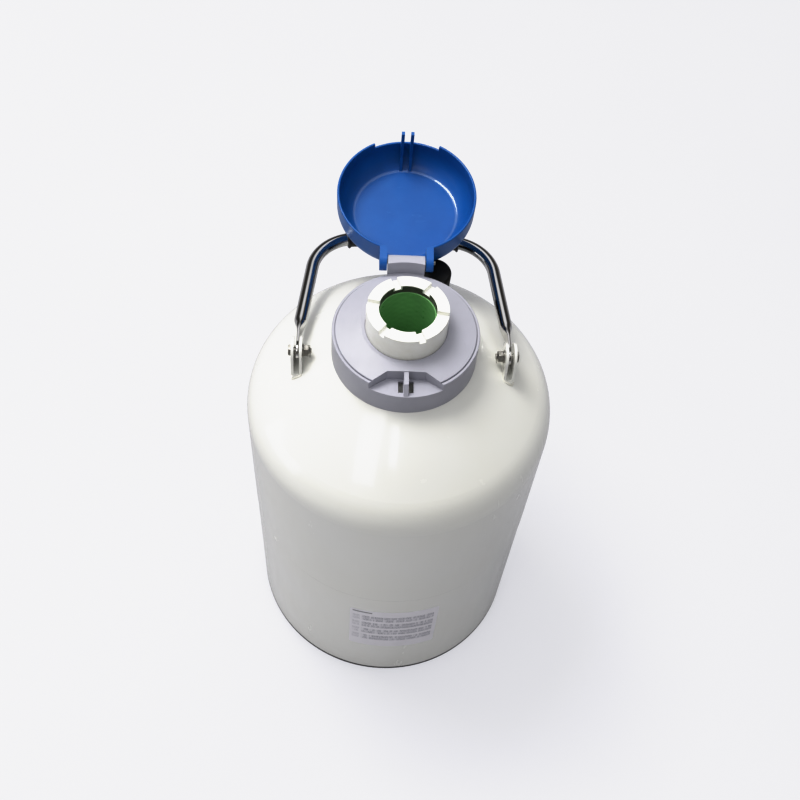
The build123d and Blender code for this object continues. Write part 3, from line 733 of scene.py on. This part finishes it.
def build_grip():
    """Moulded sleeve on the top bar: round lips at both ends and a fine mould line."""
    right = [(x, y) for x, y in bail_line(0.8) if x <= GRIP_HALF]
    line = right + [(-x, y) for x, y in reversed(right[:-1])]
    lengths = [0.0]
    for a, b in zip(line, line[1:]):
        lengths.append(lengths[-1] + hypot(b[0] - a[0], b[1] - a[1]))
    total = lengths[-1]

    def outer(s):
        end = min(s, total - s)
        if end < GRIP_LIP_T:
            t = end / GRIP_LIP_T
            rounding = GRIP_LIP_SOFT * max(0.0, 1 - t / 0.3) ** 2
            return GRIP_LIP_R - rounding - GRIP_LIP_SOFT * max(0.0, (t - 0.7) / 0.3) ** 2
        return GRIP_R + GRIP_FILLET * max(0.0, 1 - (end - GRIP_LIP_T) / GRIP_FILLET_END) ** 2

    points = GRIP_POINTS
    rings = []
    for i, ((x, y), s) in enumerate(zip(line, lengths)):
        ahead, behind = line[min(i + 1, len(line) - 1)], line[max(i - 1, 0)]
        along = Vector((ahead[0] - behind[0], ahead[1] - behind[1], 0)).normalized()
        side = Vector((along.y, -along.x, 0))
        rings.append((Vector((x, y, PIVOT_Z)), side, outer(s)))
    verts = []

    def circle(place, side, radius, line_depth=0.0):
        for k in range(points):
            a = 2 * pi * k / points
            r = radius - (line_depth if k % (points // 2) == 0 else 0)
            verts.append(tuple(place + side * (r * cos(a)) + Vector((0, 0, r * sin(a)))))

    bore = BAIL_R + GRIP_FIT
    circle(*rings[0][:2], bore)
    for place, side, radius in rings:
        circle(place, side, radius, MOULD_LINE)
    circle(*rings[-1][:2], bore)
    count = len(rings) + 2
    faces = tube_faces(count, points, caps=False)
    first, last = 0, (count - 1) * points
    for k in range(points):
        m = (k + 1) % points
        faces.append((first + m, first + k, last + k, last + m))
    piece = new_piece("bail_grip", verts, faces, black_plastic(), HANDLE, "grip_plastic", 50)
    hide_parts("handle_grip")


# ------------------------------------------------------------------ fasteners of the bail

HEX_FLATS = 10.0
HEX_CHAMFER = 0.9
HEX_FACE = 0.98         # radius of the chamfered face, as a share of half the flats
HEX_PER_SIDE = 8
CHAMFER_STEPS = 4
BOLT_R = 3.0
BOLT_FIT = 0.02
BOLT_TAIL_X = 86.6
BOLT_POINTS = 36
THREAD_PITCH = 1.0
THREAD_DEPTH = 0.35
THREAD_STEP = 0.125
TAIL_TAPER = 0.6        # length of the tapered end
TAIL_DEPTH = 0.5        # and how much thinner it gets
SHANK_IN_HEAD = 0.5
NUT_T = 5.0
WASHER_T = 1.2
WASHER_R = 6.2
WASHER_EDGE = 0.3
WASHER_STEPS = 56


def hexagon(x_low, x_high, chamfer_low, chamfer_high, bore=0.0):
    """Hexagon bar along X with its corners turned off at the chosen ends, and an optional bore."""
    count = 6 * HEX_PER_SIDE
    flat = HEX_FLATS / 2
    face_r = flat * HEX_FACE
    corner = flat / cos(pi / 6)

    def ring(x, limit):
        points = []
        for k in range(count):
            a = 2 * pi * k / count
            local = (a % (pi / 3)) - pi / 6
            r = min(flat / cos(local), limit)
            points.append((x, r * cos(a), PIVOT_Z + r * sin(a)))
        return points

    def bore_ring(x):
        turns = [2 * pi * k / count for k in range(count)]
        return [(x, bore * cos(a), PIVOT_Z + bore * sin(a)) for a in turns]

    rings = []
    for x, inward, chamfered in ((x_low, 1, chamfer_low), (x_high, -1, chamfer_high)):
        for i in range(CHAMFER_STEPS + 1):
            t = i / CHAMFER_STEPS
            if inward < 0:
                t = 1 - t
            if chamfered:
                rings.append(ring(x + inward * HEX_CHAMFER * t, face_r + (corner - face_r) * t))
            else:
                rings.append(ring(x, corner))
    if bore:
        rings += [bore_ring(x_high), bore_ring(x_low)]
    verts = [p for r in rings for p in r]
    return verts, tube_faces(len(rings), count, closed_loop=bool(bore))


def threaded_rod(x_low, x_high, thread_from, thread_to):
    """Bolt shank along X whose surface carries a helical thread over part of its length."""
    count = BOLT_POINTS
    rows = int((x_high - x_low) / THREAD_STEP)
    verts = []
    for i in range(rows + 1):
        x = x_low + (x_high - x_low) * i / rows
        end = min(1.0, (x - x_low) / TAIL_TAPER)
        for k in range(count):
            a = 2 * pi * k / count
            wave = abs(((x / THREAD_PITCH - a / (2 * pi)) % 1.0) * 2 - 1)
            cut = THREAD_DEPTH * wave if thread_from <= x <= thread_to else 0.0
            r = (BOLT_R - BOLT_FIT - cut) - TAIL_DEPTH * (1 - end)
            verts.append((x, r * cos(a), PIVOT_Z + r * sin(a)))
    return verts, tube_faces(rows + 1, count)


def fasteners(name, verts, faces, node, sharp_deg=30):
    """A set of steel fasteners, one on each side, in place of the CAD's."""
    piece = new_piece(name, *mirror_x(verts, faces), steel, VESSEL, "fastener_steel", sharp_deg)
    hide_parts(node)


def build_bolts():
    head = hexagon(BRACKET_OUT, BOLT_HEAD_X, False, True)
    shank = threaded_rod(BOLT_TAIL_X, BRACKET_OUT + SHANK_IN_HEAD, BOLT_TAIL_X, BRACKET_IN)
    fasteners("bracket_bolt_set", *join_parts(head, shank), "bracket_bolts")


def build_nuts():
    nut = hexagon(NUT_X - NUT_T, NUT_X, True, True, bore=BOLT_R + BOLT_FIT)
    fasteners("bracket_nut_set", *nut, "bracket_nuts")


def build_washers():
    low, high, bore = WASHER_X - WASHER_T, WASHER_X, BOLT_R + BOLT_FIT
    profile = [(bore, low), (WASHER_R - WASHER_EDGE, low), (WASHER_R, low + WASHER_EDGE),
               (WASHER_R, high - WASHER_EDGE), (WASHER_R - WASHER_EDGE, high), (bore, high)]
    fasteners("bracket_washer_set", *lathe(profile, WASHER_STEPS, (0, PIVOT_Z), axis=X), "bracket_washers")


COTTER_X = 88.1
COTTER_WIRE_R = 0.42
COTTER_POINTS = 12
COTTER_LEG_Y = 0.42     # each leg's distance from the middle
COTTER_LOOP_R = 1.5
COTTER_LOOP_DROP = 2.2  # from the pin's top to the middle of its loop
LEG_TOP, LEG_LOW = 3.6, -3.2                                # heights from the pivot
BACK_TAIL = ((-3.6, -5.9), (-2.2, -5.5), (-0.9, -4.6))      # sideways and up from the pivot
FRONT_TAIL = ((0.9, -4.6), (2.0, -5.8), (2.8, -6.8))


def cotter_path():
    """Split pin: one leg up, round the loop, the other leg down, both tails bent apart."""
    points = [(COTTER_X, y, PIVOT_Z + z) for y, z in BACK_TAIL]
    points += [(COTTER_X, -COTTER_LEG_Y, PIVOT_Z + z) for z in (LEG_LOW, LEG_TOP)]
    loop_z = COTTER_HIGH_Z - COTTER_LOOP_DROP
    for i in range(13):
        a = radians(-60 - 240 * i / 12)
        points.append((COTTER_X, COTTER_LOOP_R * sin(a), loop_z - COTTER_LOOP_R * cos(a)))
    points += [(COTTER_X, COTTER_LEG_Y, PIVOT_Z + z) for z in (LEG_TOP, LEG_LOW)]
    return points + [(COTTER_X, y, PIVOT_Z + z) for y, z in FRONT_TAIL]


def smooth_line(points, per_span=6):
    """Catmull-Rom line through the points."""
    points = [Vector(p) for p in points]
    line = []
    for i in range(len(points) - 1):
        p0, p1 = points[max(i - 1, 0)], points[i]
        p2, p3 = points[i + 1], points[min(i + 2, len(points) - 1)]
        for k in range(per_span):
            t = k / per_span
            line.append(0.5 * (2 * p1 + (p2 - p0) * t + (2 * p0 - 5 * p1 + 4 * p2 - p3) * t * t
                               + (3 * p1 - p0 - 3 * p2 + p3) * t ** 3))
    line.append(points[-1])
    return line


def build_cotters():
    line = smooth_line(cotter_path())
    last = len(line) - 1

    def radius(i, _turn):
        return COTTER_WIRE_R * (0.6 if i in (0, last) else 1.0)

    fasteners("split_pin_set", *swept_tube(line, radius, COTTER_POINTS), "cotter_pins", 50)


# ------------------------------------------------------------------ welds and seam

WELD_R = 1.15
WELD_POINTS = 14
WELD_CORNER = 2.0
WELD_STEP = 0.6
WELD_LIFT = 0.1
WELD_RIPPLE = 0.14
WELD_WOBBLE = 0.12
RIPPLE_STEPS = 3.5
FOOT_HALF_X = 4.5


def weld_line(side):
    """Loop round a bracket's foot, lying on the shoulder."""
    x_low, x_high = BRACKET_X - FOOT_HALF_X, BRACKET_X + FOOT_HALF_X
    y_low, y_high = FOOT_LOW_Y, FOOT_HIGH_Y
    corner = WELD_CORNER
    points = []
    for cx, cy, start in ((x_high - corner, y_high - corner, 0), (x_low + corner, y_high - corner, 90),
                          (x_low + corner, y_low + corner, 180), (x_high - corner, y_low + corner, 270)):
        for i in range(5):
            a = radians(start + 90 * i / 4)
            points.append((cx + corner * cos(a), cy + corner * sin(a)))
    dense = []
    for i, a in enumerate(points):
        b = points[(i + 1) % len(points)]
        pieces = max(1, int(hypot(b[0] - a[0], b[1] - a[1]) / WELD_STEP))
        for k in range(pieces):
            t = k / pieces
            dense.append((a[0] + (b[0] - a[0]) * t, a[1] + (b[1] - a[1]) * t))
    return [(side * x, y, shell_height(side * x, y) + WELD_LIFT) for x, y in dense]


def build_welds():
    """Fillet welds with the scale-like ripples of a hand-laid bead."""
    for side, label in ((-1, "left"), (1, "right")):
        rng = random.Random(7 + side)
        line = weld_line(side)
        wobble = [rng.uniform(-WELD_WOBBLE, WELD_WOBBLE) for _ in line]

        def radius(i, turn, wobble=wobble):
            ripple = WELD_RIPPLE * abs(sin(pi * i / RIPPLE_STEPS))
            return WELD_R + ripple + wobble[i] * 0.6 + 0.05 * sin(3 * turn)

        new_piece(f"bracket_weld_{label}", *swept_tube(line, radius, WELD_POINTS, closed=True), weld, VESSEL,
                  "bracket_paint", 60)


SEAM_STEPS = 360
SEAM_POINTS = 8
SEAM_DRIFTS = 24        # places round the seam where its thickness is drawn
SEAM_LIFT = 0.02        # out from the wall
SEAM_DROP = 0.1         # below the seam
SEAM_PROUD, SEAM_PROUD_DRIFT = 0.36, 0.05
SEAM_HALF_H, SEAM_HALF_H_DRIFT = 0.75, 0.12


def build_seam():
    """Bead of paint along the girth seam, uneven as brushed sealer is."""
    rng = random.Random(3)
    drift = [rng.uniform(-1, 1) for _ in range(SEAM_DRIFTS)]
    verts = []
    for i in range(SEAM_STEPS):
        a = 2 * pi * i / SEAM_STEPS
        t = i / SEAM_STEPS * SEAM_DRIFTS
        k = int(t)
        uneven = drift[k] + (drift[(k + 1) % SEAM_DRIFTS] - drift[k]) * ease(t - k)
        for p in range(SEAM_POINTS):
            turn = 2 * pi * p / SEAM_POINTS
            r = LOWER_R + SEAM_LIFT + (SEAM_PROUD + SEAM_PROUD_DRIFT * uneven) * cos(turn)
            z = SEAM_Z - SEAM_DROP + (SEAM_HALF_H + SEAM_HALF_H_DRIFT * uneven) * sin(turn)
            verts.append((r * cos(a), r * sin(a), z))
    faces = tube_faces(SEAM_STEPS, SEAM_POINTS, closed_loop=True)
    new_piece("girth_seam_bead", verts, faces, white, VESSEL, "shell_paint", 80)


# ------------------------------------------------------------------ crease of the lid's floor

LID_FLOOR_R = 51.5
LID_FLOOR_Z = 507.1     # with the lid shut
LID_OPEN = radians(172.0)
WALL_SLOPE = radians(26.2)
COVE_REACH = 1.7        # from the crease to where the cove leaves the floor
COVE_STEPS = 8          # across the cove
COVE_TURNS = 180        # and round the lid
COVE_PROUD = 0.02
COVE_BACK = 0.2         # how deep the piece goes into the lid
COVE_BACK_HALF = 0.9


def opened(point):
    """A place on the shut lid, carried to where the open lid has it."""
    return Matrix.Rotation(-LID_OPEN, 3, "X") @ (Vector(point) - HINGE) + HINGE


def build_lid_cove():
    """Polished cove where the cup's floor turns up into its wall."""
    radius = COVE_REACH / tan(WALL_SLOPE / 2)
    profile = []
    for i in range(COVE_STEPS + 1):
        a = WALL_SLOPE * i / COVE_STEPS
        profile.append((LID_FLOOR_R - COVE_REACH + radius * sin(a),
                        LID_FLOOR_Z - COVE_PROUD - radius * (1 - cos(a))))
    profile.append((LID_FLOOR_R + COVE_BACK_HALF, LID_FLOOR_Z + COVE_BACK))
    profile.append((LID_FLOOR_R - COVE_BACK_HALF, LID_FLOOR_Z + COVE_BACK))
    verts, faces = lathe(profile, COVE_TURNS)
    gloss = lid_blue("moulded_blue_polished", coat=1.0, coat_roughness=0.06)
    new_piece("lid_floor_cove", [opened(p) for p in verts], faces, gloss, LID, "lid_plastic", 50)


# ------------------------------------------------------------------ label

LABEL_BACK, LABEL_RIM, LABEL_STAND = 0.02, 0.1, 0.19      # distances out from the wall
LABEL_CORNER = 3.0


def build_label():
    """Thin laminated sheet wrapped on the wall, with rounded corners."""
    columns, rows = 72, 36
    verts = []
    for layer in (LABEL_BACK, LABEL_STAND):
        for i in range(columns + 1):
            s = LABEL_LEFT + (LABEL_RIGHT - LABEL_LEFT) * i / columns
            edge = min(s - LABEL_LEFT, LABEL_RIGHT - s)
            inset = 0.0
            if edge < LABEL_CORNER:
                inset = LABEL_CORNER - sqrt(max(0.0, LABEL_CORNER ** 2 - (LABEL_CORNER - edge) ** 2))
            a = s / LOWER_R
            for j in range(rows + 1):
                z = LABEL_LOW_Z + inset + (LABEL_HIGH_Z - LABEL_LOW_Z - 2 * inset) * j / rows
                rim = i in (0, columns) or j in (0, rows)
                r = LOWER_R + (min(layer, LABEL_RIM) if rim else layer)
                verts.append((r * sin(a), -r * cos(a), z))
    faces = []
    layer_size = (columns + 1) * (rows + 1)
    for i in range(columns):
        for j in range(rows):
            a = i * (rows + 1) + j
            quad = (a, a + rows + 1, a + rows + 2, a + 1)
            faces.append(tuple(k + layer_size for k in quad))
            faces.append(tuple(reversed(quad)))
    rim = [i * (rows + 1) for i in range(columns + 1)]
    rim += [columns * (rows + 1) + j for j in range(1, rows + 1)]
    rim += [i * (rows + 1) + rows for i in range(columns - 1, -1, -1)]
    rim += list(range(rows - 1, 0, -1))
    for a, b in zip(rim, rim[1:] + rim[:1]):
        faces.append((a, b, b + layer_size, a + layer_size))
    piece = new_piece("label_sheet", verts, faces, label_print(), VESSEL, "label_paper", 30)
    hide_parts("label")


# ------------------------------------------------------------------ stage, light and camera


FLOOR_HALF = 9000


def build_floor():
    corners = [(x * FLOOR_HALF, y * FLOOR_HALF, 0) for x, y in ((-1, -1), (1, -1), (1, 1), (-1, 1))]
    floor = plain_object("floor", corners, [(0, 1, 2, 3)])
    floor.data.materials.append(floor_paper())


def area_light(name, place, size, watts, target=None, turn_deg=0, colour=(1, 1, 1)):
    """A lamp aimed at a target, or straight down and turned about the vertical."""
    data = bpy.data.lights.new(name, "AREA")
    data.shape = "RECTANGLE"
    data.size, data.size_y = size
    data.energy = watts
    data.color = colour
    lamp = bpy.data.objects.new(name, data)
    bpy.context.scene.collection.objects.link(lamp)
    if target:
        aim = (Vector(target) - Vector(place)).to_track_quat("-Z", "Y").to_matrix().to_4x4()
    else:
        aim = Matrix.Rotation(radians(turn_deg), 4, "Z")
    lamp.matrix_world = Matrix.Translation(place) @ aim


KEY_PLACE, KEY_TARGET, KEY_SIZE = (-0.95, 0.75, 2.95), (0, 0, 0.3), (1.1, 1.1)
KEY_WATTS = 62
KEY_COLOUR = (1.0, 0.985, 0.95)
FILL_PLACE, FILL_TARGET, FILL_SIZE = (-2.4, -0.4, 0.8), (0, 0, 0.25), (1.4, 1.0)
FILL_WATTS = 7
WIDE_PLACE, WIDE_SIZE, WIDE_TURN, WIDE_WATTS = (-0.98, -1.67, 2.5), (0.76, 1.52), -13, 10
NARROW_PLACE, NARROW_SIZE, NARROW_TURN, NARROW_WATTS = (-0.15, -1.6, 2.5), (0.24, 0.75), -3, 2.4


def build_lights():
    """Soft key high at the rear left, weak fill low on the left, two panels for the shoulder to mirror."""
    area_light("key", KEY_PLACE, KEY_SIZE, KEY_WATTS, KEY_TARGET, colour=KEY_COLOUR)
    area_light("left_fill", FILL_PLACE, FILL_SIZE, FILL_WATTS, FILL_TARGET)
    area_light("ceiling_panel", WIDE_PLACE, WIDE_SIZE, WIDE_WATTS, turn_deg=WIDE_TURN)
    area_light("narrow_panel", NARROW_PLACE, NARROW_SIZE, NARROW_WATTS, turn_deg=NARROW_TURN)


SKY_DIRECTION = (-0.04, 0.17, 0.985)    # where the room is brightest
SKY_STRENGTH = 0.9
SKY_STOPS = (           # from the darkest side of the room to its brightest
    (0.0, (0.02, 0.02, 0.02, 1)),
    (0.50, (0.05, 0.05, 0.05, 1)),
    (0.66, (0.22, 0.22, 0.225, 1)),
    (0.84, (0.85, 0.85, 0.87, 1)),
    (1.0, (1.35, 1.35, 1.37, 1)),
)
MIRRORED_STOPS = (      # the same way, as chrome and enamel mirror the room
    (0.0, (0.10, 0.095, 0.09, 1)),
    (0.55, (0.22, 0.215, 0.205, 1)),
    (0.76, (0.05, 0.047, 0.043, 1)),
    (0.895, (0.10, 0.097, 0.093, 1)),
    (0.932, (1.3, 1.3, 1.32, 1)),
    (1.0, (1.5, 1.5, 1.52, 1)),
)


def sky_ramp(tree, share, stops):
    """Background whose colour follows how near a direction is to the brightest one."""
    ramp = tree.nodes.new("ShaderNodeValToRGB")
    while len(ramp.color_ramp.elements) < len(stops):
        ramp.color_ramp.elements.new(0.5)
    for element, (position, colour) in zip(ramp.color_ramp.elements, stops):
        element.position = position
        element.color = colour
    sky = tree.nodes.new("ShaderNodeBackground")
    sky.inputs["Strength"].default_value = SKY_STRENGTH
    tree.links.new(share, ramp.inputs["Fac"])
    tree.links.new(ramp.outputs["Color"], sky.inputs["Color"])
    return sky.outputs["Background"]


def choose(tree, ray, otherwise, then):
    """One background for a kind of ray and another for the rest."""
    mix = tree.nodes.new("ShaderNodeMixShader")
    tree.links.new(ray, mix.inputs["Fac"])
    tree.links.new(otherwise, mix.inputs[1])
    tree.links.new(then, mix.inputs[2])
    return mix.outputs["Shader"]


def build_world():
    """Pale light from above and behind, a streakier room in mirrors, plain paper past the floor's edge."""
    world = bpy.data.worlds.new("studio")
    bpy.context.scene.world = world
    world.use_nodes = True
    tree = world.node_tree
    place = tree.nodes.new("ShaderNodeTexCoord")
    dot = tree.nodes.new("ShaderNodeVectorMath")
    dot.operation = "DOT_PRODUCT"
    tree.links.new(place.outputs["Generated"], dot.inputs[0])
    dot.inputs[1].default_value = SKY_DIRECTION
    share = tree.nodes.new("ShaderNodeMapRange")
    share.inputs["From Min"].default_value = -1.0
    share.inputs["From Max"].default_value = 1.0
    tree.links.new(dot.outputs["Value"], share.inputs["Value"])
    paper = tree.nodes["Background"]
    paper.inputs["Color"].default_value = linear(226, 226, 230)
    ray = tree.nodes.new("ShaderNodeLightPath").outputs
    sky = sky_ramp(tree, share.outputs["Result"], SKY_STOPS)
    mirrored = sky_ramp(tree, share.outputs["Result"], MIRRORED_STOPS)
    lit = choose(tree, ray["Is Glossy Ray"], sky, mirrored)
    seen = choose(tree, ray["Is Camera Ray"], lit, paper.outputs["Background"])
    tree.links.new(seen, tree.nodes["World Output"].inputs["Surface"])


CAMERA_PLACE = (-0.0475, -0.5808, 1.2284)
CAMERA_YAW = 4.74       # degrees from +Y towards +X
CAMERA_PITCH = 56.17    # degrees below the horizon
CAMERA_ROLL = 5.61      # degrees
CAMERA_LENS = 46.95     # millimetres, as the sensor's width is
SENSOR = 36.0


def build_camera():
    yaw, pitch, roll = radians(CAMERA_YAW), radians(CAMERA_PITCH), radians(CAMERA_ROLL)
    forward = Vector((sin(yaw) * cos(pitch), cos(yaw) * cos(pitch), -sin(pitch)))
    level = Vector((cos(yaw), -sin(yaw), 0))
    above = level.cross(forward)
    right = cos(roll) * level + sin(roll) * above
    up = -sin(roll) * level + cos(roll) * above
    data = bpy.data.cameras.new("photo_view")
    data.sensor_width = SENSOR
    data.lens = CAMERA_LENS
    data.clip_end = 50
    camera = bpy.data.objects.new("photo_view", data)
    bpy.context.scene.collection.objects.link(camera)
    turn = Matrix((right, up, -forward)).transposed().to_4x4()
    camera.matrix_world = Matrix.Translation(CAMERA_PLACE) @ turn
    bpy.context.scene.camera = camera


TONE_WHITE = 2.0        # the light that is shown as full white
TONE = ((0, 0), (0.1, 0.055), (0.2, 0.13), (0.35, 0.265), (0.5, 0.42), (0.65, 0.595), (0.8, 0.77),
        (0.95, 0.885), (1.15, 0.93), (1.5, 0.96), (2.0, 1.0))


def set_tone():
    """Plain display colours through a print-like curve: deeper middle tones and a soft white end."""
    view = bpy.context.scene.view_settings
    view.view_transform = "Standard"
    view.look = "None"
    view.use_curve_mapping = True
    mapping = view.curve_mapping
    mapping.white_level = (TONE_WHITE, TONE_WHITE, TONE_WHITE)
    curve = mapping.curves[3]
    while len(curve.points) < len(TONE):
        curve.points.new(0.5, 0.5)
    for point, (light, shown) in zip(curve.points, TONE):
        point.location = (light / TONE_WHITE, shown)
    mapping.update()


dress_cad_nodes()
build_bail()
build_grip()
build_bolts()
build_nuts()
build_washers()
build_cotters()
build_welds()
build_seam()
build_lid_cove()
build_label()
build_floor()
build_lights()
build_world()
build_camera()
set_tone()
